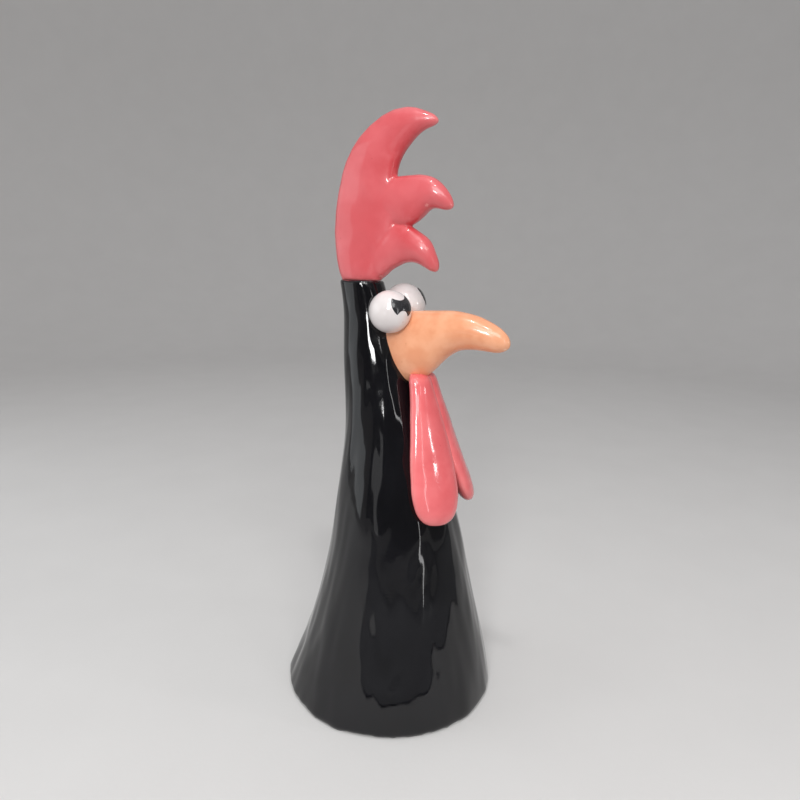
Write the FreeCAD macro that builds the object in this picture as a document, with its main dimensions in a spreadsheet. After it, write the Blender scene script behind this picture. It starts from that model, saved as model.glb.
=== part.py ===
import FreeCAD, Part
import math
import os
import Sketcher

# A comical rooster in glazed ceramic: a hollow thrown cone with solid hand-made pieces luted on.
# Millimetres. +Z is up, the rooster faces -Y, its own right side is -X.
# The origin is the centre of the foot rim, on the surface that it stands on.

SIZES = (
    ("body_height", 182.0, "foot to the top of the neck"),
    ("foot_radius", 47.3, "outside of the foot"),
    ("neck_radius", 9.0, "outside of the neck at its top"),
    ("lean_back", 15.5, "how far the neck's top stands behind the foot's centre"),
    ("wall", 5.0, "thickness of the hollow body"),
    ("foot_rounding", 2.2, "outer edge of the foot"),
    ("neck_rounding", 1.2, "edge round the top of the neck"),
    ("vault_rounding", 4.0, "closed end of the hollow"),
    ("comb_height", 67.6, "comb above the neck"),
    ("comb_reach", 54.0, "comb from its back edge to the middle lobe's tip"),
    ("comb_thickness", 10.0, "comb across"),
    ("comb_seat", 2.0, "comb pressed down over the neck"),
    ("beak_length", 60.0, "beak from the neck's axis to its tip"),
    ("beak_height", 28.4, "root of the beak, top to bottom"),
    ("beak_width", 15.8, "beak at its widest, side to side"),
    ("right_eye_radius", 8.7, "ball of the right eye"),
    ("left_eye_radius", 9.1, "ball of the left eye"),
    ("right_eye_press", 1.8, "right eye pressed into the neck"),
    ("left_eye_press", 3.4, "left eye pressed into the neck"),
    ("eye_flat", 0.15, "flat where the eyes meet"),
    ("right_eye_rise", 0.0, "right eye above the eyes' level"),
    ("left_eye_rise", 1.8, "left eye above the eyes' level"),
    ("pupil_radius", 5.0, "disc of a pupil"),
    ("pupil_seat", 0.6, "pupil let into the ball at its rim"),
    ("pupil_rise", 0.25, "pupil proud of the ball"),
    ("scoop_radius", 4.0, "white bay in a pupil's upper edge"),
    ("notch_radius", 2.9, "white bay in a pupil's lower edge"),
    ("bay_shift", 0.8, "bays outwards from a pupil's middle"),
    ("cutter_span", 80.0, "block that trims an eye at its twin"),
    ("wattle_width", 22.0, "wattle at its widest"),
    ("wattle_thickness", 9.6, "wattle front to back"),
    ("right_wattle_length", 60.2, "right wattle, top to bottom"),
    ("left_wattle_length", 57.7, "left wattle, top to bottom"),
    ("right_wattle_swing", 0.0, "lower end of the right wattle off the body"),
    ("left_wattle_swing", 3.0, "lower end of the left wattle off the body"),
)

# Heights of the pieces on the body, as shares of its height.
EYES_SHARE = 0.935
BEAK_SHARE = 0.857
WATTLES_SHARE = 0.796
HOLLOW_SHARE = 0.74

# Body from foot to neck: share of the height, share of the flare, share of the lean.
BODY_SHARES = (
    (0.000, 1.000, 0.000),
    (0.060, 0.902, -0.070),
    (0.165, 0.741, -0.160),
    (0.330, 0.541, -0.205),
    (0.495, 0.396, -0.070),
    (0.660, 0.250, 0.165),
    (0.824, 0.121, 0.580),
    (0.930, 0.030, 0.830),
    (1.000, 0.000, 1.000),
)

# Comb lobes: shares of its reach in front of the neck's axis and of its height above the
# neck, half its width as a share of its height, half its thickness as a share of the
# comb's, and the turn of the section in degrees.
TOP_LOBE_SHARES = (
    (-0.013, 0.000, 0.116, 0.420, 0),
    (-0.013, 0.020, 0.129, 0.460, 0),
    (-0.013, 0.046, 0.139, 0.480, 0),
    (-0.014, 0.080, 0.155, 0.490, 0),
    (-0.013, 0.170, 0.178, 0.500, 0),
    (0.026, 0.348, 0.221, 0.500, 0),
    (0.040, 0.496, 0.212, 0.500, 2),
    (0.042, 0.629, 0.184, 0.500, 5),
    (0.094, 0.740, 0.166, 0.490, 13),
    (0.180, 0.827, 0.142, 0.470, 29),
    (0.298, 0.893, 0.114, 0.440, 51),
    (0.417, 0.923, 0.078, 0.390, 72),
    (0.509, 0.923, 0.048, 0.290, 84),
    (0.569, 0.916, 0.028, 0.165, 92),
    (0.597, 0.911, 0.008, 0.040, 95),
)
MIDDLE_LOBE_SHARES = (
    (0.120, 0.480, 0.140, 0.420, 90),
    (0.250, 0.488, 0.141, 0.450, 90),
    (0.389, 0.490, 0.146, 0.460, 90),
    (0.483, 0.510, 0.128, 0.460, 92),
    (0.576, 0.525, 0.088, 0.440, 97),
    (0.643, 0.502, 0.064, 0.370, 106),
    (0.694, 0.472, 0.043, 0.255, 115),
    (0.724, 0.456, 0.021, 0.125, 118),
    (0.734, 0.449, 0.007, 0.036, 120),
)
LOWER_LOBE_SHARES = (
    (0.060, 0.150, 0.150, 0.400, 90),
    (0.170, 0.183, 0.142, 0.430, 90),
    (0.250, 0.230, 0.139, 0.450, 90),
    (0.361, 0.247, 0.115, 0.470, 93),
    (0.450, 0.228, 0.091, 0.470, 105),
    (0.515, 0.201, 0.077, 0.440, 115),
    (0.567, 0.154, 0.053, 0.340, 127),
    (0.600, 0.118, 0.035, 0.225, 140),
    (0.617, 0.101, 0.018, 0.110, 142),
    (0.624, 0.095, 0.007, 0.036, 142),
)

# Beak from its root to its tip: share of the length, share of the height up or down,
# half height and half width as shares, and the turn of the section in degrees.
BEAK_SHARES = (
    (0.070, -0.050, 0.470, 0.440, 90),
    (0.240, -0.020, 0.520, 0.480, 90),
    (0.370, 0.020, 0.500, 0.495, 90),
    (0.470, 0.083, 0.443, 0.480, 90),
    (0.555, 0.185, 0.355, 0.450, 90),
    (0.655, 0.255, 0.280, 0.405, 90),
    (0.760, 0.249, 0.240, 0.360, 92),
    (0.855, 0.205, 0.207, 0.315, 97),
    (0.925, 0.150, 0.172, 0.260, 104),
    (0.968, 0.110, 0.122, 0.185, 111),
    (0.990, 0.084, 0.064, 0.095, 116),
    (0.998, 0.074, 0.016, 0.022, 117),
)

# Wattle from its lower end to its top: share of the length, half width and half
# thickness as shares, how far it stands off the body as a share of its thickness, and
# the side that it hangs to, in degrees from straight ahead.
WATTLE_SHARES = (
    (0.000, 0.040, 0.070, 0.36, 27.0),
    (0.018, 0.230, 0.260, 0.37, 27.0),
    (0.070, 0.380, 0.410, 0.39, 27.0),
    (0.150, 0.470, 0.490, 0.41, 26.5),
    (0.260, 0.500, 0.500, 0.43, 25.5),
    (0.420, 0.470, 0.490, 0.43, 23.5),
    (0.600, 0.400, 0.465, 0.43, 20.0),
    (0.780, 0.310, 0.440, 0.48, 16.5),
    (0.920, 0.235, 0.400, 0.60, 14.0),
    (1.000, 0.210, 0.360, 0.64, 13.0),
)

# Directions in which the eyes look, in degrees outwards and upwards.
RIGHT_EYE_TURN = 23
RIGHT_EYE_TILT = 24
LEFT_EYE_TURN = 38
LEFT_EYE_TILT = 30

# How far from a pupil's centre its bays begin, as shares of its radius.
SCOOP_SHARE = 0.34
NOTCH_SHARE = 0.52

# Edge of a comb section as a share of its half thickness.
EDGE_SHARE = 0.80

# How many bands each form is laid up in.
BODY_BANDS = 24
HOLLOW_BANDS = 18
ROUNDING_BANDS = 4
LOBE_BANDS = 26
BEAK_BANDS = 30
WATTLE_BANDS = 27


def new_sheet(doc):
    sheet = doc.addObject("Spreadsheet::Sheet", "Sizes")
    for row, (name, value, note) in enumerate(SIZES, start=1):
        sheet.set("A%d" % row, name)
        sheet.set("B%d" % row, str(value))
        sheet.set("C%d" % row, note)
        sheet.setAlias("B%d" % row, name)
    doc.recompute()
    return sheet


def curve(part, start, end, leave, arrive):
    # Cubic from start to end with the given slopes.
    bulge = part * (1 - part)
    ease = part * part * (3 - part - part)
    return start + (end - start) * ease + bulge * (leave * (1 - part) - arrive * part)


def smoothed(rows, bands):
    # The rows of a table read at even steps, on a smooth curve through them.
    last = len(rows) - 1
    result = []
    for step in range(bands + 1):
        place = last * step / bands
        low = min(int(place), last - 1)
        before = rows[max(low - 1, 0)]
        after = rows[min(low + 2, last)]
        result.append([
            curve(place - low, start, end, (end - first) / 2, (final - start) / 2)
            for first, start, end, final in zip(before, rows[low], rows[low + 1], after)])
    return result


def body_slope(row, column):
    before = BODY_SHARES[max(row - 1, 0)]
    after = BODY_SHARES[min(row + 1, len(BODY_SHARES) - 1)]
    return (after[column] - before[column]) / (after[0] - before[0])


def body_share(share, column):
    # Value of the body's table at a height, on a smooth curve through its rows.
    rows = BODY_SHARES
    low = max(row for row in range(len(rows) - 1) if rows[row][0] <= share)
    span = rows[low + 1][0] - rows[low][0]
    return curve((share - rows[low][0]) / span, rows[low][column], rows[low + 1][column],
                 body_slope(low, column) * span, body_slope(low + 1, column) * span)


def body_radius(share):
    flare = body_share(share, 1)
    return f"(Sizes.neck_radius + (Sizes.foot_radius - Sizes.neck_radius) * {flare:.5f})"


def body_axis(share):
    return f"(Sizes.lean_back * {body_share(share, 2):.5f})"


def body_level(share):
    return f"(Sizes.body_height * {share:.5f})"


def plane_of(body, role):
    return next(f for f in body.Origin.OriginFeatures if f.Role == role)


def ring_sketch(body, name, level, axis, radius):
    # A level circle round the body's leaning axis.
    sketch = body.newObject("Sketcher::SketchObject", name)
    sketch.AttachmentSupport = (plane_of(body, "XY_Plane"), "")
    sketch.MapMode = "FlatFace"
    circle = Part.Circle(FreeCAD.Vector(0, 0, 0), FreeCAD.Vector(0, 0, 1), 1)
    sketch.addGeometry(circle, False)
    sketch.addConstraint(Sketcher.Constraint("Coincident", 0, 3, -1, 1))
    sketch.addConstraint(Sketcher.Constraint("Radius", 0, 1))
    sketch.renameConstraint(1, "ring")
    sketch.setExpression("Constraints.ring", radius)
    sketch.setExpression("AttachmentOffset.Base.y", axis)
    sketch.setExpression("AttachmentOffset.Base.z", level)
    return sketch


def full_ring(share, inset):
    return body_level(share), body_axis(share), f"{body_radius(share)} - {inset}"


def rounded_rings(edge, near, rounding, inset):
    # Rings from an edge of the body in towards its nearest full ring, turned in a quarter.
    rings = []
    for step in range(ROUNDING_BANDS + 1):
        turn = math.pi * step / (ROUNDING_BANDS + ROUNDING_BANDS)
        away = f"Sizes.{rounding} * {1 - math.cos(turn):.5f}"
        part = f"({away}) / (Sizes.body_height * {abs(near - edge):.5f})"
        level = f"{body_level(edge)} + ({away}) * {1 if near > edge else -1}"
        axis = f"{body_axis(edge)} + ({body_axis(near)} - {body_axis(edge)}) * {part}"
        radius = (f"{body_radius(edge)} + ({body_radius(near)} - {body_radius(edge)}) * {part}"
                  f" - {inset} - Sizes.{rounding} * {1 - math.sin(turn):.5f}")
        rings.append((level, axis, radius))
    return rings


def stacked(body, kind, name, rings):
    # A loft in straight bands through rings listed from the top down.
    sketches = [ring_sketch(body, "%sRing%d" % (name, i), *ring) for i, ring in enumerate(rings)]
    form = body.newObject(kind, name)
    form.Profile = sketches[0]
    form.Sections = sketches[1:]
    form.Ruled = True
    return form


def body_shell(doc):
    # The hollow cone of the body and neck, open at the foot, worked from the neck down.
    body = doc.addObject("PartDesign::Body", "BodyShell")
    shares = [step / BODY_BANDS for step in range(BODY_BANDS + 1)]
    foot = rounded_rings(shares[0], shares[1], "foot_rounding", "0")
    neck = rounded_rings(shares[-1], shares[-2], "neck_rounding", "0")
    flanks = [full_ring(share, "0") for share in reversed(shares[1:-1])]
    stacked(body, "PartDesign::AdditiveLoft", "Outside", neck + flanks + foot[::-1])
    doc.recompute()

    shares = [HOLLOW_SHARE * step / HOLLOW_BANDS for step in range(HOLLOW_BANDS + 1)]
    vault = rounded_rings(shares[-1], shares[-2], "vault_rounding", "Sizes.wall")
    walls = [full_ring(share, "Sizes.wall") for share in reversed(shares[:-1])]
    stacked(body, "PartDesign::SubtractiveLoft", "Hollow", vault + walls)
    body.Label = "body_shell"
    return body


def oval_sketch(doc, name, width_share, thickness_share, place):
    # A section of four tangent arcs: two round edges and two slightly crowned faces.
    sizes = doc.getObject("Sizes")
    width = sizes.comb_height * width_share
    thick = sizes.comb_thickness * thickness_share
    edge = thick * EDGE_SHARE
    face = ((width - edge) ** 2 + thick ** 2 - edge ** 2) / (2 * (thick - edge))
    drop = face - thick
    sketch = doc.addObject("Sketcher::SketchObject", name)
    vector = FreeCAD.Vector
    up = vector(0, 0, 1)
    turn = math.atan2(drop, width - edge)
    arcs = (
        (vector(width - edge, 0, 0), edge, -turn, turn),
        (vector(0, -drop, 0), face, turn, math.pi - turn),
        (vector(edge - width, 0, 0), edge, math.pi - turn, math.pi + turn),
        (vector(0, drop, 0), face, math.pi + turn, 2 * math.pi - turn),
    )
    for centre, radius, start, end in arcs:
        sketch.addGeometry(Part.ArcOfCircle(Part.Circle(centre, up, radius), start, end), False)
    for arc in range(4):
        sketch.addConstraint(Sketcher.Constraint("Tangent", arc, 2, (arc + 1) % 4, 1))
    sketch.addConstraint(Sketcher.Constraint("PointOnObject", 0, 3, -1))
    sketch.addConstraint(Sketcher.Constraint("PointOnObject", 1, 3, -2))
    sketch.addConstraint(Sketcher.Constraint("Symmetric", 0, 3, 2, 3, -1, 1))
    sketch.addConstraint(Sketcher.Constraint("Equal", 1, 3))
    thick_text = f"(Sizes.comb_thickness * {thickness_share:.5f})"
    edge_text = f"({thick_text} * {EDGE_SHARE})"
    run_text = f"(Sizes.comb_height * {width_share:.5f} - {edge_text})"
    named = (
        ("edge", Sketcher.Constraint("Radius", 0, edge), edge_text),
        ("run", Sketcher.Constraint("DistanceX", -1, 1, 0, 3, width - edge), run_text),
        ("face", Sketcher.Constraint("Radius", 1, face),
         f"({run_text} ^ 2 + {thick_text} ^ 2 - {edge_text} ^ 2)"
         f" / (2 * ({thick_text} - {edge_text}))"),
    )
    for label, constraint, text in named:
        index = sketch.addConstraint(constraint)
        sketch.renameConstraint(index, label)
        sketch.setExpression("Constraints." + label, text)
    sketch.setExpression("Placement", place)
    return sketch


def ellipse_section(doc, name, half_width, half_thickness, place):
    ellipse = doc.addObject("Part::Ellipse", name)
    ellipse.setExpression("MajorRadius", half_width)
    ellipse.setExpression("MinorRadius", half_thickness)
    ellipse.setExpression("Placement", place)
    return ellipse


def banded(doc, name, sections):
    # A solid in straight bands from section to section.
    form = doc.addObject("Part::Loft", name)
    form.Sections = sections
    form.Solid = True
    form.Ruled = True
    return form


def cut(doc, name, base, tools):
    # Cuts each tool in turn from the base.
    for number, tool in enumerate(tools, start=1):
        last = number == len(tools)
        result = doc.addObject("Part::Cut", name if last else "%sCut%d" % (name, number))
        result.Base = base
        result.Tool = tool
        base = result
    return base


def comb_lobe(doc, name, rows):
    sections = []
    for i, (ahead, above, width, thickness, turn) in enumerate(smoothed(rows, LOBE_BANDS)):
        y = f"Sizes.lean_back - Sizes.comb_reach * {ahead:.5f}"
        z = (f"Sizes.body_height - Sizes.comb_seat"
             f" + (Sizes.comb_height + Sizes.comb_seat) * {above:.5f}")
        place = f"placement(vector(0; {y}; {z}); rotationx({turn:.3f}) * rotationz(90))"
        sections.append(oval_sketch(doc, "%s%d" % (name, i), width, thickness, place))
    return banded(doc, name, sections)


def comb(doc, body):
    # Three lobes curling forwards, run together into one thick pad on the neck.
    lobes = [comb_lobe(doc, name, rows) for name, rows in (
        ("TopLobe", TOP_LOBE_SHARES),
        ("MiddleLobe", MIDDLE_LOBE_SHARES),
        ("LowerLobe", LOWER_LOBE_SHARES),
    )]
    pad = doc.addObject("Part::MultiFuse", "CombPad")
    pad.Shapes = lobes
    seated = cut(doc, "Comb", pad, [body])
    seated.Label = "comb"
    return seated


def eye_place(side, label, turn, tilt):
    # Centre of an eye against the neck, and the way that it looks.
    across = f"(Sizes.{label}_radius - Sizes.eye_flat)"
    reach = f"({body_radius(EYES_SHARE)} + Sizes.{label}_radius - Sizes.{label}_press)"
    y = f"{body_axis(EYES_SHARE)} - sqrt({reach} ^ 2 - {across} ^ 2)"
    z = f"{body_level(EYES_SHARE)} + Sizes.{label}_rise"
    return (f"placement(vector({side} * {across}; {y}; {z});"
            f" rotationz({side * turn}) * rotationx({90 - tilt}))")


def raised(place, x, y, height):
    return f"{place} * placement(vector({x}; {y}; {height}); rotationz(0))"


def pupil(doc, name, label, side, place):
    # A domed disc of black clay with a bay in its upper edge and another in its lower edge.
    low = f"sqrt(Sizes.{label}_radius ^ 2 - Sizes.pupil_radius ^ 2) - Sizes.pupil_seat"
    plug = doc.addObject("Part::Cylinder", name + "Plug")
    plug.setExpression("Radius", "Sizes.pupil_radius")
    plug.setExpression("Height", f"Sizes.{label}_radius")
    plug.setExpression("Placement", raised(place, "0", "0", low))
    dome = doc.addObject("Part::Sphere", name + "Dome")
    dome.setExpression("Radius", f"Sizes.{label}_radius + Sizes.pupil_rise")
    dome.setExpression("Placement", place)
    disc = doc.addObject("Part::Common", name + "Disc")
    disc.Base = plug
    disc.Tool = dome
    bays = []
    for part, radius, y in (
        ("Scoop", "scoop_radius", f"Sizes.pupil_radius * {SCOOP_SHARE} + Sizes.scoop_radius"),
        ("Notch", "notch_radius", f"-Sizes.pupil_radius * {NOTCH_SHARE} - Sizes.notch_radius"),
    ):
        bay = doc.addObject("Part::Cylinder", name + part)
        bay.setExpression("Radius", "Sizes." + radius)
        bay.setExpression("Height", f"Sizes.{label}_radius")
        bay.setExpression("Placement", raised(place, f"{side} * Sizes.bay_shift", y,
                                              low + " - Sizes.pupil_seat"))
        bays.append(bay)
    inlay = cut(doc, name, disc, bays)
    inlay.Label = label.replace("eye", "pupil")
    return inlay


def eye(doc, name, label, side, place, body, inlay):
    # A rolled ball, pressed against the neck and its twin, with a hollow for the pupil.
    ball = doc.addObject("Part::Sphere", name + "Ball")
    ball.setExpression("Radius", f"Sizes.{label}_radius")
    ball.setExpression("Placement", place)
    beyond = doc.addObject("Part::Box", name + "Beyond")
    for edge in ("Length", "Width", "Height"):
        beyond.setExpression(edge, "Sizes.cutter_span")
    x = "0" if side < 0 else "-Sizes.cutter_span"
    z = f"{body_level(EYES_SHARE)} - Sizes.cutter_span / 2"
    beyond.setExpression("Placement",
                         f"placement(vector({x}; -Sizes.cutter_span / 2; {z}); rotationz(0))")
    seated = cut(doc, name, ball, [beyond, inlay, body])
    seated.Label = label
    return seated


def beak(doc, body, eyes):
    # One hooked mass of clay on the front of the neck, under the eyes.
    sections = []
    for i, (along, up, tall, wide, turn) in enumerate(smoothed(BEAK_SHARES, BEAK_BANDS)):
        y = f"{body_axis(BEAK_SHARE)} - Sizes.beak_length * {along:.5f}"
        z = f"{body_level(BEAK_SHARE)} + Sizes.beak_height * {up:.5f}"
        place = f"placement(vector(0; {y}; {z}); rotationx({turn:.3f}) * rotationz(90))"
        sections.append(ellipse_section(doc, "BeakSection%d" % i,
                                        f"Sizes.beak_height * {tall:.5f}",
                                        f"Sizes.beak_width * {wide:.5f}", place))
    seated = cut(doc, "Beak", banded(doc, "BeakForm", sections), eyes + [body])
    seated.Label = "beak"
    return seated


def wattle(doc, name, label, side, neighbours):
    # A flattened drop that hangs from under the beak against the body's front.
    sizes = doc.getObject("Sizes")
    span_share = getattr(sizes, label + "_length") / sizes.body_height
    top = body_level(WATTLES_SHARE)
    sections = []
    for i, (up, wide, thick, stand, turn) in enumerate(smoothed(WATTLE_SHARES, WATTLE_BANDS)):
        share = WATTLES_SHARE - span_share * (1 - up)
        swing = f"Sizes.{label}_swing * {(1 - up) ** 3:.5f}"
        reach = f"({body_radius(share)} + Sizes.wattle_thickness * {stand:.5f} + {swing})"
        x = f"{side} * {reach} * sin({turn:.3f})"
        y = f"{body_axis(share)} - {reach} * cos({turn:.3f})"
        z = f"{top} - Sizes.{label}_length * {1 - up:.5f}"
        place = f"placement(vector({x}; {y}; {z}); rotationz({side * turn:.3f}))"
        sections.append(ellipse_section(doc, "%sSection%d" % (name, i),
                                        f"Sizes.wattle_width * {wide:.5f}",
                                        f"Sizes.wattle_thickness * {thick:.5f}", place))
    seated = cut(doc, name, banded(doc, name + "Form", sections), neighbours)
    seated.Label = label
    return seated


def check(doc):
    for thing in doc.Objects:
        for state in ("Invalid", "Error"):
            if state in thing.State:
                raise ValueError("%s is %s" % (thing.Label, state))


def main():
    os.makedirs("parts", exist_ok=True)
    doc = FreeCAD.newDocument("Rooster")
    new_sheet(doc)
    body = body_shell(doc)
    pieces = [body, comb(doc, body)]
    eyes = []
    for name, label, side, turn, tilt in (
        ("RightEye", "right_eye", -1, RIGHT_EYE_TURN, RIGHT_EYE_TILT),
        ("LeftEye", "left_eye", 1, LEFT_EYE_TURN, LEFT_EYE_TILT),
    ):
        place = eye_place(side, label, turn, tilt)
        inlay = pupil(doc, name + "Pupil", label, side, place)
        eyes += [eye(doc, name, label, side, place, body, inlay), inlay]
    bill = beak(doc, body, eyes[::2])
    right = wattle(doc, "RightWattle", "right_wattle", -1, [bill, body])
    left = wattle(doc, "LeftWattle", "left_wattle", 1,
                  [doc.getObject("RightWattleForm"), bill, body])
    pieces += eyes + [bill, right, left]
    doc.recompute()
    check(doc)
    for piece in pieces:
        shape = piece.Shape
        if shape.isNull() or not shape.isValid():
            raise ValueError(piece.Label + " has no valid shape")
    for piece in pieces:
        piece.Shape.exportStep("parts/%s.step" % piece.Label)
        box = piece.Shape.BoundBox
        print("%-14s solids %d volume %9.1f" % (piece.Label, len(piece.Shape.Solids),
                                               piece.Shape.Volume),
              "x %.1f..%.1f y %.1f..%.1f z %.1f..%.1f" % (box.XMin, box.XMax, box.YMin,
                                                        box.YMax, box.ZMin, box.ZMax))


main()
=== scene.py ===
import math

import bpy
from mathutils import Matrix, Vector


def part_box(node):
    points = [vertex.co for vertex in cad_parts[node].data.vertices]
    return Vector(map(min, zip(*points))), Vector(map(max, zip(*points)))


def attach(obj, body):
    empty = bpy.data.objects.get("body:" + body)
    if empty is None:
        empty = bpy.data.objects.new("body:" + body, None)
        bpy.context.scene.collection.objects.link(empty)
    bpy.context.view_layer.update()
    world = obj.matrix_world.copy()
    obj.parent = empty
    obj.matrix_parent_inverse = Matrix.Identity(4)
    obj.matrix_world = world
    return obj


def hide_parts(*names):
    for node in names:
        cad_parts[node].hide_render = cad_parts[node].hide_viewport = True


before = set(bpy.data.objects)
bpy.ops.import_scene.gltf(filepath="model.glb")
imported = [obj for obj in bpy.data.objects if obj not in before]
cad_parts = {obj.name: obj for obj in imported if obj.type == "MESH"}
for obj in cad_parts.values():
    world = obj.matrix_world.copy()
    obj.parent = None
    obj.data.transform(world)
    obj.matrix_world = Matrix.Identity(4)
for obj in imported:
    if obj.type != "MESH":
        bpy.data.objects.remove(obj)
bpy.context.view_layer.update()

# A comical rooster in glazed ceramic. Metres; it faces -Y, and its own right side is -X.
# The pieces are shaped as the maker shapes the clay, then given their glazes.

BODY_LOW, BODY_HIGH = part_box("body_shell")

# How far the foot spreads before the fingers press its edge.
FOOT_SPREAD = 0.0006

BODY_HEIGHT = BODY_HIGH.z
FOOT_RADIUS = (BODY_HIGH.x - BODY_LOW.x) / 2 + FOOT_SPREAD
NECK_RADIUS = 0.009
LEAN_BACK = 0.0155
WALL = 0.005
FOOT_ROUNDING = 0.0030
NECK_ROUNDING = 0.0010

# How much of the foot's rounding is rubbed flat on the board.
FOOT_RUBBED = 0.12

# Where the hollow ends, as a share of the height, and the crown of its vault, as a share
# of its width.
HOLLOW_SHARE = 0.73
VAULT_CROWN = 0.25

# Body from foot to neck: share of the height, share of the flare, share of the lean.
BODY_SHARES = (
    (0.000, 1.000, 0.000),
    (0.060, 0.920, -0.070),
    (0.165, 0.768, -0.160),
    (0.330, 0.581, -0.205),
    (0.495, 0.428, -0.070),
    (0.660, 0.256, 0.165),
    (0.824, 0.121, 0.580),
    (0.930, 0.030, 0.830),
    (1.000, 0.004, 1.050),
)

# Steps that the body's table is read in, and how high up it is read for the top ring.
BODY_STEPS = 160
TOP_SHARE = 0.9999

# Rings of the body: at each rounded edge, up the side, down the hollow and in its vault.
EDGE_RINGS = 5
SIDE_RINGS = 60
HOLLOW_RINGS = 24
VAULT_RINGS = 3

# Where on the body the eyes, the beak and the tops of the wattles sit.
EYES_SHARE = 0.935
BEAK_SHARE = 0.857
WATTLES_SHARE = 0.796

BEAK_LENGTH = 0.060
BEAK_HEIGHT = 0.0284
BEAK_WIDTH = 0.0158
BEAK_BANDS = 30

# Beak from its root to its tip: share of the length, share of the height up or down,
# half height and half width as shares, and the tilt of the section in degrees.
BEAK_SHARES = (
    (0.070, -0.070, 0.490, 0.440, 90),
    (0.240, -0.040, 0.540, 0.480, 90),
    (0.370, 0.005, 0.515, 0.495, 90),
    (0.470, 0.083, 0.443, 0.480, 90),
    (0.555, 0.185, 0.355, 0.450, 90),
    (0.655, 0.255, 0.280, 0.405, 90),
    (0.760, 0.249, 0.240, 0.360, 92),
    (0.855, 0.205, 0.207, 0.315, 97),
    (0.925, 0.150, 0.172, 0.260, 104),
    (0.968, 0.110, 0.122, 0.185, 111),
    (0.990, 0.084, 0.064, 0.095, 116),
    (0.998, 0.074, 0.016, 0.022, 117),
)

WATTLE_WIDTH = 0.022
WATTLE_THICKNESS = 0.0096
WATTLE_BANDS = 27

# Length of each wattle, and how far its lower end swings clear of the body.
WATTLES = {
    "right": (0.0602, 0),
    "left": (0.0577, 0.003),
}

# Wattle from its lower end to its top: share of the length, half width and half
# thickness as shares, how far it stands off the body as a share of its thickness, and
# the side that it hangs to, in degrees from straight ahead.
WATTLE_SHARES = (
    (0.000, 0.060, 0.080, 0.36, 27.0),
    (0.018, 0.270, 0.280, 0.37, 27.0),
    (0.070, 0.430, 0.430, 0.39, 27.0),
    (0.150, 0.520, 0.500, 0.41, 26.5),
    (0.260, 0.545, 0.510, 0.44, 25.5),
    (0.420, 0.525, 0.500, 0.46, 22.5),
    (0.600, 0.465, 0.485, 0.49, 18.0),
    (0.780, 0.375, 0.460, 0.55, 13.5),
    (0.900, 0.300, 0.425, 0.62, 11.0),
    (0.970, 0.268, 0.390, 0.66, 10.0),
    (1.000, 0.170, 0.240, 0.60, 9.5),
)

# Eyes: radius, how deep the ball is pressed into the neck, how far it sits above
# EYES_SHARE, and the way it looks, in degrees to its side and up.
EYES = {
    "right": {"radius": 0.0087, "press": 0.0018, "rise": 0.0, "turn": 23, "tilt": 24},
    "left": {"radius": 0.0091, "press": 0.0034, "rise": 0.0018, "turn": 38, "tilt": 30},
}

# How far each ball is pressed flat against its twin.
EYE_FLAT = 0.00015

# Corners of the rings, and of the balls round and from pole to pole.
BODY_CORNERS = 96
CLAY_CORNERS = 32
EYE_CORNERS = 64
EYE_BANDS = 40

# Voxel size, and rounds of smoothing, of the pieces that start from a node's own mesh.
COMB_MESH = (0.00045, 14)
PUPIL_MESH = (0.00009, 10)
SMOOTHING_FACTOR = 0.5
MERGE_DISTANCE = 1e-6

# Presses of the fingers: size across and depth, in metres, and how many times longer they
# are along X, Y and Z.
PRESSES = {
    "flutes": (0.008, 0.0012, (1, 1, 7)),
    "sides": (0.022, 0.0012, (1, 1, 3)),
    "comb": (0.012, 0.0005, (1, 1, 1)),
    "beak": (0.012, 0.0005, (1, 1, 1)),
    "wattle": (0.010, 0.0005, (1, 1, 1)),
    "eye": (0.009, 0.00025, (1, 1, 1)),
}

# The cloudy level at which a press neither dents nor swells.
PRESS_LEVEL = 0.45


def smoothed(rows, bands):
    """The rows of a table read at even steps, on a smooth curve through them."""
    last = len(rows) - 1
    result = []
    for step in range(bands + 1):
        place = last * step / bands
        low = min(int(place), last - 1)
        part = place - low
        ease = part * part * (3 - 2 * part)
        bulge = part * (1 - part) / 2
        before, after = rows[max(low - 1, 0)], rows[min(low + 2, last)]
        result.append([
            start + (end - start) * ease
            + bulge * ((end - first) * (1 - part) - (final - start) * part)
            for first, start, end, final in zip(before, rows[low], rows[low + 1], after)])
    return result


BODY_CURVE = smoothed(BODY_SHARES, BODY_STEPS)


def body_row(share):
    """Radius and axis of the body at a share of its height."""
    low = max(i for i in range(BODY_STEPS) if BODY_CURVE[i][0] <= share)
    before, after = BODY_CURVE[low], BODY_CURVE[low + 1]
    part = (share - before[0]) / (after[0] - before[0])
    flare, lean = (before[k] + (after[k] - before[k]) * part for k in (1, 2))
    return NECK_RADIUS + (FOOT_RADIUS - NECK_RADIUS) * flare, LEAN_BACK * lean


# Modelling with the operators.

def picked(piece):
    """Makes the piece the active one, and the only one that is selected."""
    bpy.ops.object.select_all(action="DESELECT")
    piece.select_set(True)
    bpy.context.view_layer.objects.active = piece
    return piece


def start_circle(name, corners, centre):
    """A filled disc in edit mode, the first ring of a piece."""
    bpy.ops.object.select_all(action="DESELECT")
    bpy.ops.mesh.primitive_circle_add(vertices=corners, radius=1, fill_type="TRIFAN",
                                      location=centre)
    piece = bpy.context.object
    piece.name = name
    bpy.ops.object.mode_set(mode="EDIT")
    bpy.ops.mesh.select_all(action="SELECT")
    return piece


def turn_ring(centre, degrees, axis):
    """Turns the selected ring about its centre."""
    if degrees:
        bpy.ops.transform.rotate(value=-math.radians(degrees), orient_axis=axis,
                                 orient_type="GLOBAL", center_override=centre)


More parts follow.
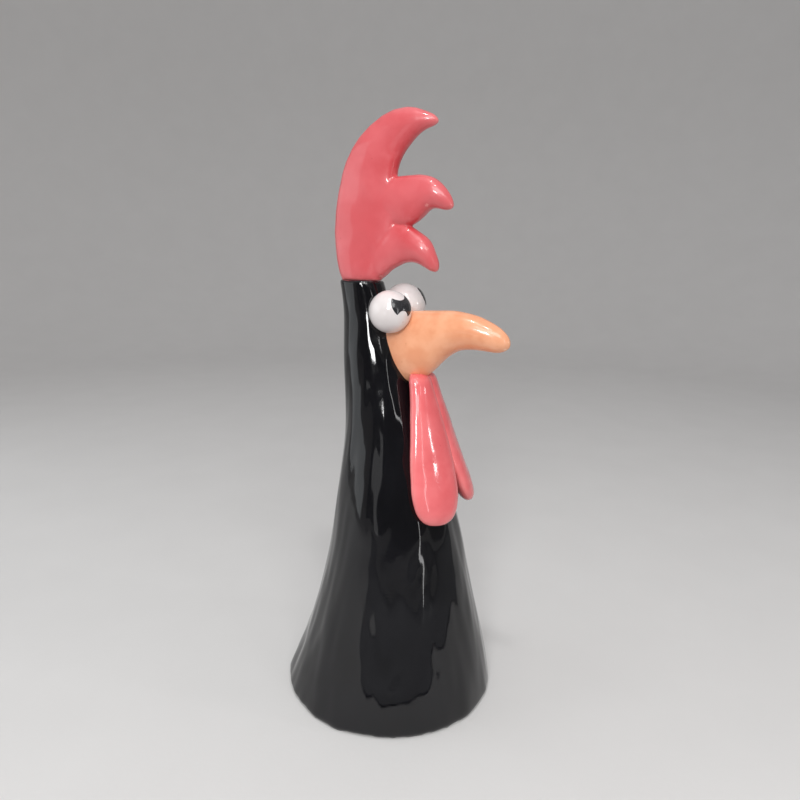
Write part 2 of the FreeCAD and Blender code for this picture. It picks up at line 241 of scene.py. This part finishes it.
def laid_up(name, corners, rings):
    """A closed piece pulled up ring by ring: centre, half width, half depth, tilt, turn."""
    centre, width, depth, tilt, turn = rings[0]
    piece = start_circle(name, corners, centre)
    bpy.ops.transform.resize(value=(width, depth, 1), center_override=centre)
    turn_ring(centre, tilt, "X")
    turn_ring(centre, turn, "Z")
    for ring in rings[1:]:
        step = Vector(ring[0]) - Vector(centre)
        bpy.ops.mesh.extrude_region_move(TRANSFORM_OT_translate={"value": step})
        centre = ring[0]
        turn_ring(centre, -turn, "Z")
        turn_ring(centre, -tilt, "X")
        bpy.ops.transform.resize(value=(ring[1] / width, ring[2] / depth, 1),
                                 center_override=centre)
        width, depth, tilt, turn = ring[1:]
        turn_ring(centre, tilt, "X")
        turn_ring(centre, turn, "Z")
    bpy.ops.mesh.select_all(action="SELECT")
    bpy.ops.mesh.normals_make_consistent(inside=False)
    bpy.ops.object.mode_set(mode="OBJECT")
    settle(piece)
    return piece


def settle(piece):
    """Puts the piece's place in its mesh, with the object at the origin."""
    picked(piece)
    bpy.ops.object.transform_apply(location=True, rotation=True, scale=True)


def worked(piece, kind, **settings):
    """Adds a modifier, sets it and applies it."""
    picked(piece)
    modifier = piece.modifiers.new(kind.lower(), kind)
    for key, value in settings.items():
        setattr(modifier, key, value)
    bpy.ops.object.modifier_apply(modifier=modifier.name)
    return piece


def rounded(piece):
    """Divides each face once, on a smooth surface."""
    return worked(piece, "SUBSURF", levels=1, render_levels=1)


def hand_pressed(piece, kind):
    """Soft dents and swells of the fingers, as PRESSES gives them."""
    size, depth, stretch = PRESSES[kind]
    texture = bpy.data.textures.new("pressed " + kind, "CLOUDS")
    texture.noise_scale = size
    texture.noise_depth = 1
    guide = bpy.data.objects.new("press guide", None)
    bpy.context.scene.collection.objects.link(guide)
    guide.scale = stretch
    bpy.context.view_layer.update()
    worked(piece, "DISPLACE", texture=texture, texture_coords="OBJECT",
           texture_coords_object=guide, strength=depth, mid_level=PRESS_LEVEL)
    bpy.data.objects.remove(guide)
    bpy.data.textures.remove(texture)
    return piece


def stood_flat(piece, depth):
    """Rubs the foot flat on the board: what lies under depth is brought level at zero."""
    picked(piece)
    bpy.ops.object.mode_set(mode="EDIT")
    bpy.ops.mesh.select_mode(type="VERT")
    bpy.ops.mesh.select_all(action="DESELECT")
    bpy.ops.object.mode_set(mode="OBJECT")
    for corner in piece.data.vertices:
        corner.select = corner.co.z < depth
    bpy.ops.object.mode_set(mode="EDIT")
    bpy.ops.transform.resize(value=(1, 1, 0), center_override=(0, 0, 0))
    bpy.ops.object.mode_set(mode="OBJECT")
    return piece


def remeshed(node, name, voxel, rounds):
    """A copy of a node's mesh in even facets, with its edges smoothed."""
    piece = bpy.data.objects.new(name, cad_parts[node].data.copy())
    bpy.context.scene.collection.objects.link(piece)
    picked(piece)
    bpy.ops.object.mode_set(mode="EDIT")
    bpy.ops.mesh.select_all(action="SELECT")
    bpy.ops.mesh.remove_doubles(threshold=MERGE_DISTANCE)
    bpy.ops.mesh.customdata_custom_splitnormals_clear()
    bpy.ops.object.mode_set(mode="OBJECT")
    worked(piece, "REMESH", mode="VOXEL", voxel_size=voxel)
    return worked(piece, "SMOOTH", factor=SMOOTHING_FACTOR, iterations=rounds)


def finished(piece, node, material):
    """Smooth shading, the glaze, and the place of the piece on the rooster."""
    picked(piece)
    bpy.ops.object.shade_smooth()
    piece.data.materials.clear()
    piece.data.materials.append(material)
    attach(piece, "root")
    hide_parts(node)


# The pieces.

def body_rings():
    """Rings from the rounded foot up the outside to the neck, as centre and radius."""
    rings = []
    for step in range(EDGE_RINGS + 1):
        turn = math.pi / 2 * step / EDGE_RINGS
        z = FOOT_ROUNDING * (1 - math.cos(turn))
        radius, axis = body_row(z / BODY_HEIGHT)
        rings.append(((0, axis, z), radius - FOOT_ROUNDING * (1 - math.sin(turn))))
    low = FOOT_ROUNDING / BODY_HEIGHT
    high = 1 - NECK_ROUNDING / BODY_HEIGHT
    for step in range(1, SIDE_RINGS):
        share = low + (high - low) * step / SIDE_RINGS
        radius, axis = body_row(share)
        rings.append(((0, axis, share * BODY_HEIGHT), radius))
    for step in range(EDGE_RINGS + 1):
        turn = math.pi / 2 * step / EDGE_RINGS
        z = BODY_HEIGHT - NECK_ROUNDING * (1 - math.sin(turn))
        radius, axis = body_row(min(z / BODY_HEIGHT, TOP_SHARE))
        rings.append(((0, axis, z), radius - NECK_ROUNDING * (1 - math.cos(turn))))
    return rings


def hollow_rings():
    """Rings down the inside, from the closed vault under the neck to the open foot."""
    rings = []
    for step in range(HOLLOW_RINGS + 1):
        share = HOLLOW_SHARE * (1 - step / HOLLOW_RINGS)
        radius, axis = body_row(share)
        closing = min(1, VAULT_CROWN + (1 - VAULT_CROWN) * math.sqrt(step / VAULT_RINGS))
        rings.append(((0, axis, share * BODY_HEIGHT), (radius - WALL) * closing))
    return rings


def body():
    """The cone: its wall starts at the vault of the hollow, goes down it, turns out at the
    foot and climbs the outside."""
    path = hollow_rings() + body_rings()
    rings = [(centre, radius, radius, 0, 0) for centre, radius in path]
    piece = rounded(laid_up("body_glazed", BODY_CORNERS, rings))
    hand_pressed(piece, "flutes")
    hand_pressed(piece, "sides")
    return stood_flat(piece, FOOT_ROUNDING * FOOT_RUBBED)


def comb():
    """A thick pad with three lobes that curl forwards."""
    return hand_pressed(remeshed("comb", "comb_glazed", *COMB_MESH), "comb")


def beak():
    """A hooked mass, laid up from its root in the neck to its tip."""
    _, axis = body_row(BEAK_SHARE)
    rings = []
    for along, up, tall, wide, tilt in smoothed(BEAK_SHARES, BEAK_BANDS):
        centre = (0, axis - BEAK_LENGTH * along, BODY_HEIGHT * BEAK_SHARE + BEAK_HEIGHT * up)
        rings.append((centre, BEAK_WIDTH * wide, BEAK_HEIGHT * tall, tilt, 0))
    return hand_pressed(rounded(laid_up("beak_glazed", CLAY_CORNERS, rings)), "beak")


def wattle(side, label):
    """A flattened drop that hangs along the body."""
    length, swing = WATTLES[label]
    span = length / BODY_HEIGHT
    rings = []
    for up, wide, thick, stand, turn in smoothed(WATTLE_SHARES, WATTLE_BANDS):
        share = WATTLES_SHARE - span * (1 - up)
        radius, axis = body_row(share)
        reach = radius + WATTLE_THICKNESS * stand + swing * (1 - up) ** 3
        angle = math.radians(turn)
        centre = (side * reach * math.sin(angle), axis - reach * math.cos(angle),
                  share * BODY_HEIGHT)
        rings.append((centre, WATTLE_WIDTH * wide, WATTLE_THICKNESS * thick, 0, side * turn))
    piece = rounded(laid_up(label + "_wattle_glazed", CLAY_CORNERS, rings))
    return hand_pressed(piece, "wattle")


def eye_place(side, sizes):
    """Centre of an eye, and the matrix whose Z is the way that it looks."""
    radius, axis = body_row(EYES_SHARE)
    across = sizes["radius"] - EYE_FLAT
    reach = radius + sizes["radius"] - sizes["press"]
    centre = Vector((side * across, axis - math.sqrt(reach ** 2 - across ** 2),
                     BODY_HEIGHT * EYES_SHARE + sizes["rise"]))
    return (Matrix.Translation(centre)
            @ Matrix.Rotation(math.radians(side * sizes["turn"]), 4, "Z")
            @ Matrix.Rotation(math.radians(90 - sizes["tilt"]), 4, "X"))


def eye(side, label):
    """A ball with the flat where its twin presses on it."""
    sizes = EYES[label]
    bpy.ops.object.select_all(action="DESELECT")
    bpy.ops.mesh.primitive_uv_sphere_add(segments=EYE_CORNERS, ring_count=EYE_BANDS,
                                         radius=sizes["radius"])
    piece = bpy.context.object
    piece.name = label + "_eye_glazed"
    piece.matrix_world = eye_place(side, sizes)
    settle(piece)
    bpy.ops.object.mode_set(mode="EDIT")
    bpy.ops.mesh.select_all(action="SELECT")
    bpy.ops.mesh.bisect(plane_co=(0, 0, 0), plane_no=(-side, 0, 0), use_fill=True,
                        clear_outer=True)
    bpy.ops.object.mode_set(mode="OBJECT")
    return hand_pressed(piece, "eye")


def pupil(label):
    """A domed black disc with a bay in its upper edge and another in its lower edge."""
    return remeshed(label + "_pupil", label + "_pupil_glazed", *PUPIL_MESH)


# Finishes.

# Sockets of the Mix node for colours: its part, its two colours and its result.
MIX_PART, MIX_FIRST, MIX_SECOND, MIX_RESULT = 0, 6, 7, 2


class Level:
    """A number that changes over a surface."""

    def __init__(self, finish, socket):
        self.finish = finish
        self.socket = socket

    def _math(self, operation, *values):
        values = [v.socket if isinstance(v, Level) else v for v in values]
        node = self.finish.node("Math", {"operation": operation}, dict(enumerate(values)))
        return Level(self.finish, node.outputs[0])

    def __radd__(self, other):
        return self._math("ADD", other, self)

    def __rsub__(self, other):
        return self._math("SUBTRACT", other, self)

    def __mul__(self, other):
        return self._math("MULTIPLY", self, other)

    def between(self, low, high):
        """0 below low, 1 above high and smooth from one to the other."""
        node = self.finish.node("MapRange", {"interpolation_type": "SMOOTHSTEP"},
                                {"Value": self.socket, "From Min": low, "From Max": high})
        return Level(self.finish, node.outputs["Result"])


class Finish:
    """A material and the nodes in it."""

    def __init__(self, name):
        self.material = bpy.data.materials.new(name)
        self.material.use_nodes = True
        self.tree = self.material.node_tree
        self.tree.nodes.clear()
        self.place = self.node("TexCoord").outputs["Object"]

    def node(self, kind, settings=None, sockets=None):
        """A new node, with its settings, and its sockets linked or given a constant."""
        node = self.tree.nodes.new("ShaderNode" + kind)
        for key, value in (settings or {}).items():
            setattr(node, key, value)
        for key, value in (sockets or {}).items():
            if isinstance(value, bpy.types.NodeSocket):
                self.tree.links.new(value, node.inputs[key])
            else:
                node.inputs[key].default_value = value
        return node

    def noise(self, size, detail=2.0, squeeze=(1, 1, 1)):
        """Cloudy variation, its swells about size across in metres, longer along an axis
        where squeeze is under 1."""
        place = self.node("Mapping", {}, {"Vector": self.place, "Scale": squeeze})
        node = self.node("TexNoise", {}, {
            "Vector": place.outputs[0], "Scale": 1 / size, "Detail": detail})
        return Level(self, node.outputs["Fac"])

    def specks(self, spacing, size):
        """1 in small round specks, spacing apart and size across, 0 elsewhere."""
        node = self.node("TexVoronoi", {}, {"Vector": self.place, "Scale": 1 / spacing})
        near = Level(self, node.outputs["Distance"])
        return 1 - near.between(size / spacing / 2, size / spacing)

    def curvature(self):
        """About 0.5 on a flat, more along edges, less in hollows."""
        return Level(self, self.node("NewGeometry").outputs["Pointiness"])

    def near(self, point, reach):
        """1 at a point of the piece, falling to 0 at reach from it, in metres."""
        node = self.node("VectorMath", {"operation": "DISTANCE"}, {0: self.place, 1: point})
        return 1 - Level(self, node.outputs["Value"]).between(0, reach)

    def mixed(self, part, first, second):
        """From the first colour to the second by part."""
        colours = {MIX_FIRST: first, MIX_SECOND: second}
        for key, colour in colours.items():
            if isinstance(colour, tuple):
                colours[key] = (*colour, 1)
        node = self.node("Mix", {"data_type": "RGBA"}, {MIX_PART: part.socket, **colours})
        return node.outputs[MIX_RESULT]

    def bumped(self, height, depth, under=None):
        """The normal of fine relief, depth deep in metres, on top of the normal under it."""
        sockets = {"Height": height.socket, "Distance": depth, "Strength": 1.0}
        if under is not None:
            sockets["Normal"] = under
        return self.node("Bump", {}, sockets).outputs["Normal"]

    def shaded(self, colour, roughness, normal, **constants):
        """The material, once its surface is joined up."""
        shader = self.node("BsdfPrincipled", {}, {
            "Base Color": colour, "Roughness": roughness.socket, "Normal": normal, **constants})
        self.node("OutputMaterial", {}, {"Surface": shader.outputs["BSDF"]})
        return self.material


# Curvature over which a glaze runs thin, from a flat to an edge, and over which it gathers and is
# darkened by painted shade, from a hollow to a flat, and how much of each shows.
THIN_EDGES, THIN_PART = (0.50, 0.56), 0.8
GATHERED_AND_SHADED_HOLLOWS, GATHERED_AND_SHADED_PART = (0.44, 0.50), 0.7

# Specks in a glaze: how far apart, how large, the size of the fields that they lie in,
# and how much of their colour shows.
SPECK_SPACING = 0.006
SPECK_SIZE = 0.0005
SPECK_FIELDS = 0.02
SPECK_PART = 0.6

# Levels of the cloudy noise over which a patch, a spot of painted shade, a field of specks and a
# smear come in, and how many times finer a spot of painted shade is than a patch.
PATCH_LEVELS = (0.35, 0.68)
SHADE_LEVELS = (0.25, 0.6)
FIELD_LEVELS = (0.45, 0.6)
SMEAR_LEVELS = (0.3, 0.75)
SHADE_FINENESS = 3

# Detail of the noise in patches, pools and smears, and in fields of specks and swells.
CLOUD_DETAIL = 3.0
SOFT_DETAIL = 1.0

# A fired glaze: size of its smears and how much rougher they are, size of its broad
# swells and their depth in times the peel's, and size of the peel itself.
SMEAR_SIZE = 0.004
SMEAR_ROUGHNESS = 0.06
SWELL_SIZE = 0.008
SWELL_DEPTH = 3
PEEL_SIZE = 0.0012
GLAZE_IOR = 1.5
COAT_ROUGHNESS = 0.03

# Painted shade on the comb: darker red by the two notches and under the top lobe, where shade
# falls.
COMB_PAINTED_SHADE = (
    ((0, -0.001, 0.2285), 0.013),
    ((0, -0.008, 0.2045), 0.013),
    ((0, -0.007, 0.2370), 0.009),
    ((0, -0.004, 0.1850), 0.012),
)

# Each glaze: its colours where it is thin, deep and pooled, size of the pooled patches,
# roughness, depth of its orange peel, and what else it has. The deep colour also darkens the
# hollows as painted shade.
GLAZES = {
    "wattle_coral_glaze": {
        "thin": (0.90, 0.34, 0.32), "deep": (0.82, 0.145, 0.155), "pooled": (0.89, 0.195, 0.205),
        "patch": 0.012, "roughness": 0.12, "peel": 0.00003, "specked": (0.66, 0.10, 0.11)},
    "white_glaze": {
        "thin": (0.84, 0.81, 0.79), "deep": (0.75, 0.69, 0.68), "pooled": (0.81, 0.765, 0.755),
        "patch": 0.010, "roughness": 0.15, "peel": 0.00002, "specked": (0.66, 0.57, 0.55)},
    "pupil_black_glaze": {
        "thin": (0.045, 0.045, 0.05), "deep": (0.018, 0.018, 0.021),
        "pooled": (0.026, 0.026, 0.029), "patch": 0.004, "roughness": 0.14, "peel": 0.00002},
    "black_glaze": {
        "thin": (0.010, 0.010, 0.012), "deep": (0.0028, 0.0028, 0.0038),
        "pooled": (0.0045, 0.0045, 0.006), "patch": 0.018, "roughness": 0.03,
        "peel": 0.000006, "coat": 0.0, "squeeze": (1, 1, 0.15)},
    "comb_coral_glaze": {
        "thin": (0.80, 0.27, 0.26), "deep": (0.66, 0.093, 0.105), "pooled": (0.71, 0.125, 0.138),
        "patch": 0.014, "roughness": 0.32, "peel": 0.00003, "specked": (0.55, 0.07, 0.08),
        "coat": 0.6, "painted_shade": COMB_PAINTED_SHADE, "shade_colour": (0.60, 0.045, 0.055)},
    "orange_glaze": {
        "thin": (0.94, 0.56, 0.36), "deep": (0.82, 0.33, 0.165), "pooled": (0.91, 0.43, 0.245),
        "patch": 0.009, "roughness": 0.20, "peel": 0.00003, "specked": (0.72, 0.29, 0.13)},
}

# Matt surfaces round the rooster: two colours, size and detail of the cloudy change from
# one to the other, and size, detail and depth of the grain.
MATTS = {
    "pale_paper": ((0.66, 0.65, 0.64), (0.70, 0.69, 0.68), (0.05, 4.0), (0.002, 3.0), 0.00005),
    "grey_cloth": ((0.24, 0.24, 0.245), (0.29, 0.29, 0.295), (0.08, 3.0), (0.004, 2.0), 0.0002),
}
MATT_ROUGHNESS = 0.9
MATT_SPECULAR = 0.2
MATT_SMEAR_SIZE = 0.05
MATT_SMEAR_ROUGHNESS = 0.05


def glaze(name, thin, deep, pooled, patch, roughness, peel, specked=None, coat=0.35,
          squeeze=(1, 1, 1), painted_shade=(), shade_colour=None):
    """A glossy glaze: thin on edges, deep in hollows, where it gathers and where painted shade
    darkens it, with a fine orange peel. It may have specks, swells that run down, and spots of
    painted shade in another colour."""
    finish = Finish(name)
    edge = finish.curvature().between(*THIN_EDGES)
    # Darker in hollows: glaze that gathers there, and painted shade.
    hollow = 1 - finish.curvature().between(*GATHERED_AND_SHADED_HOLLOWS)
    colour = finish.mixed(finish.noise(patch, CLOUD_DETAIL).between(*PATCH_LEVELS), deep, pooled)
    colour = finish.mixed(edge * THIN_PART, colour, thin)
    colour = finish.mixed(hollow * GATHERED_AND_SHADED_PART, colour, deep)
    # Spots of painted shade, cloudy and darker, where shade falls on the comb.
    for point, reach in painted_shade:
        cloud = finish.noise(patch / SHADE_FINENESS, CLOUD_DETAIL).between(*SHADE_LEVELS)
        colour = finish.mixed(finish.near(point, reach) * cloud, colour, shade_colour)
    if specked is not None:
        fields = finish.noise(SPECK_FIELDS, SOFT_DETAIL).between(*FIELD_LEVELS)
        spots = finish.specks(SPECK_SPACING, SPECK_SIZE) * fields
        colour = finish.mixed(spots * SPECK_PART, colour, specked)
    smears = finish.noise(SMEAR_SIZE, CLOUD_DETAIL).between(*SMEAR_LEVELS)
    swells = finish.bumped(finish.noise(SWELL_SIZE, SOFT_DETAIL, squeeze), peel * SWELL_DEPTH)
    normal = finish.bumped(finish.noise(PEEL_SIZE), peel, swells)
    return finish.shaded(colour, roughness + smears * SMEAR_ROUGHNESS, normal, **{
        "IOR": GLAZE_IOR, "Coat Weight": coat, "Coat Roughness": COAT_ROUGHNESS})


def matt(name):
    """A matt surface, as MATTS gives it."""
    dark, light, clouds, grain, depth = MATTS[name]
    finish = Finish(name)
    colour = finish.mixed(finish.noise(*clouds), dark, light)
    normal = finish.bumped(finish.noise(*grain), depth)
    roughness = MATT_ROUGHNESS + finish.noise(MATT_SMEAR_SIZE) * MATT_SMEAR_ROUGHNESS
    return finish.shaded(colour, roughness, normal, **{"Specular IOR Level": MATT_SPECULAR})


# Stage, lamps and camera.

CAMERA_PLACE = (-0.2477, -0.1183, 0.1929)
CAMERA_TURN = -65.0
CAMERA_PITCH = 12.6
CAMERA_ROLL = 1.2
CAMERA_LENS = 29.25
CAMERA_SENSOR = 36
CAMERA_NEAREST = 0.01

# The sweep: its radius and height, and the shares of the radius that are floor and bend.
SWEEP_RADIUS = 1.6
SWEEP_HEIGHT = 2.2
FLOOR_SHARE = 0.6
BEND_SHARE = 0.4
BEND_STEPS = 12
ROUND_CORNERS = 96

# The cloths: their radius, the height of the upright one, how far in front of the rooster
# they start, and the turns from the camera, in degrees, of the line that they start from
# on the left and of the line that the one beside the picture keeps to.
CLOTH_RADIUS = 1.2
CLOTH_HEIGHT = 0.7
CLOTH_THICKNESS = 0.002
CLOTH_START = 0.13
CLOTH_TURN = -50
CLOTH_CLEAR = 44

# Lamps: turn to the right of the camera and rise above level, in degrees, distance, width
# and height in metres, radiance, and colour where it isn't white.
LAMPS = {
    "wall_left": (-86, 15, 0.62, 0.52, 0.46, 1.0, (0.92, 0.97, 1.0)),
    "window_front": (-12, 27, 0.80, 0.13, 0.13, 34.0),
    "window_side": (76, 14, 0.80, 0.06, 0.10, 25.0),
    "strip_right": (40, 11, 0.45, 0.022, 0.34, 6.0),
    "band_soft": (-27, 5, 0.50, 0.11, 0.15, 0.7),
    "ceiling_near": (10, 62, 1.00, 0.06, 0.06, 95.0),
    "ceiling_far": (-12, 74, 1.00, 0.06, 0.06, 95.0),
    "soft_front": (6, 42, 0.95, 0.55, 0.35, 5.2),
}
WORLD_COLOUR = (0.9, 0.9, 0.92, 1)
WORLD_STRENGTH = 0.70


def stage():
    """A round pale sweep: floor, curved foot and wall in one."""
    radius = SWEEP_RADIUS * FLOOR_SHARE
    bpy.ops.object.select_all(action="DESELECT")
    bpy.ops.mesh.primitive_circle_add(vertices=ROUND_CORNERS, radius=radius, fill_type="NGON")
    floor = bpy.context.object
    floor.name = "sweep"
    bpy.ops.object.mode_set(mode="EDIT")
    bpy.ops.mesh.select_all(action="SELECT")
    bend = SWEEP_RADIUS * BEND_SHARE
    height = 0
    bpy.ops.mesh.select_mode(type="EDGE")
    bpy.ops.mesh.region_to_loop()
    for step in range(1, BEND_STEPS + 2):
        turn = math.pi / 2 * min(step, BEND_STEPS) / BEND_STEPS
        new_radius = SWEEP_RADIUS * FLOOR_SHARE + bend * math.sin(turn)
        new_height = bend * (1 - math.cos(turn)) if step <= BEND_STEPS else SWEEP_HEIGHT
        bpy.ops.mesh.extrude_region_move(
            TRANSFORM_OT_translate={"value": (0, 0, new_height - height)})
        bpy.ops.transform.resize(value=(new_radius / radius, new_radius / radius, 1),
                                 center_override=(0, 0, new_height))
        radius, height = new_radius, new_height
    bpy.ops.mesh.select_all(action="SELECT")
    bpy.ops.mesh.normals_make_consistent(inside=True)
    bpy.ops.object.mode_set(mode="OBJECT")
    bpy.ops.object.shade_smooth()
    floor.data.materials.append(matt("pale_paper"))


def cloth_piece(name, cloth, upright, cuts):
    """A round of cloth on the floor, or a round wall of it, trimmed along straight cuts."""
    bpy.ops.object.select_all(action="DESELECT")
    if upright:
        bpy.ops.mesh.primitive_cylinder_add(
            vertices=ROUND_CORNERS, radius=CLOTH_RADIUS, depth=CLOTH_HEIGHT,
            end_fill_type="NOTHING", location=(0, 0, CLOTH_HEIGHT / 2))
    else:
        bpy.ops.mesh.primitive_circle_add(
            vertices=ROUND_CORNERS, radius=CLOTH_RADIUS, fill_type="NGON",
            location=(0, 0, CLOTH_THICKNESS))
    piece = bpy.context.object
    piece.name = name
    settle(piece)
    bpy.ops.object.mode_set(mode="EDIT")
    for place, kept_side in cuts:
        bpy.ops.mesh.select_all(action="SELECT")
        bpy.ops.mesh.bisect(plane_co=place, plane_no=kept_side, clear_inner=True)
    bpy.ops.object.mode_set(mode="OBJECT")
    piece.data.materials.append(cloth)


def dark_cloths():
    """Grey cloth in front of the rooster and to its left, which keeps the black glaze deep."""
    cloth = matt("grey_cloth")
    turn = math.radians(CAMERA_TURN)
    ahead = Vector((math.sin(turn), -math.cos(turn), 0))
    across = Vector((math.cos(turn), math.sin(turn), 0))
    start = math.radians(CAMERA_TURN + CLOTH_TURN)
    past_start = Vector((math.cos(start), math.sin(start), 0))
    side = math.radians(CLOTH_CLEAR)
    past_side = across * math.cos(side) + ahead * math.sin(side)
    near_edge = ahead * CLOTH_START
    cloth_piece("cloth_in_front", cloth, False, [(near_edge, ahead), (near_edge, past_start)])
    cloth_piece("cloth_beside", cloth, False,
                [(Vector(CAMERA_PLACE), past_side), (near_edge, -ahead)])
    cloth_piece("cloth_wall", cloth, True, [(near_edge, past_start)])


def lamp(name, turn, rise, distance, width, height, radiance, colour=(1, 1, 1)):
    """A soft box round the rooster, aimed at half its height."""
    data = bpy.data.lights.new(name, "AREA")
    data.shape = "RECTANGLE"
    data.size, data.size_y = width, height
    data.energy = radiance * math.pi * width * height
    data.color = colour
    box = bpy.data.objects.new(name, data)
    bpy.context.scene.collection.objects.link(box)
    around = math.radians(CAMERA_TURN + turn)
    up = math.radians(rise)
    away = Vector((math.sin(around) * math.cos(up), -math.cos(around) * math.cos(up), math.sin(up)))
    aim = Vector((0, 0, BODY_HEIGHT / 2))
    box.location = aim + away * distance
    box.rotation_euler = away.to_track_quat("Z", "Y").to_euler()
    box.visible_camera = False


def lamps():
    """The lamps of the table and an even light from all round."""
    for name, sizes in LAMPS.items():
        lamp(name, *sizes)
    world = bpy.data.worlds.new("studio")
    bpy.context.scene.world = world
    world.use_nodes = True
    sky = world.node_tree.nodes["Background"].inputs
    sky["Color"].default_value = WORLD_COLOUR
    sky["Strength"].default_value = WORLD_STRENGTH


def camera():
    """The camera, placed and turned as for the photograph."""
    data = bpy.data.cameras.new("camera")
    data.lens = CAMERA_LENS
    data.sensor_width = CAMERA_SENSOR
    data.clip_start = CAMERA_NEAREST
    eye_point = bpy.data.objects.new("camera", data)
    bpy.context.scene.collection.objects.link(eye_point)
    eye_point.matrix_world = (Matrix.Translation(CAMERA_PLACE)
                              @ Matrix.Rotation(math.radians(CAMERA_TURN), 4, "Z")
                              @ Matrix.Rotation(math.radians(90 - CAMERA_PITCH), 4, "X")
                              @ Matrix.Rotation(math.radians(CAMERA_ROLL), 4, "Z"))
    bpy.context.scene.camera = eye_point


def main():
    camera()
    stage()
    dark_cloths()
    lamps()
    bpy.context.scene.view_settings.view_transform = "Standard"
    glazes = {name: glaze(name, **look) for name, look in GLAZES.items()}

    def add(piece, node, slot):
        finished(piece, node, glazes[slot])

    sides = ((-1, "right"), (1, "left"))
    add(body(), "body_shell", "black_glaze")
    add(comb(), "comb", "comb_coral_glaze")
    add(beak(), "beak", "orange_glaze")
    for side, label in sides:
        add(wattle(side, label), label + "_wattle", "wattle_coral_glaze")
    for side, label in sides:
        add(eye(side, label), label + "_eye", "white_glaze")
        add(pupil(label), label + "_pupil", "pupil_black_glaze")


main()
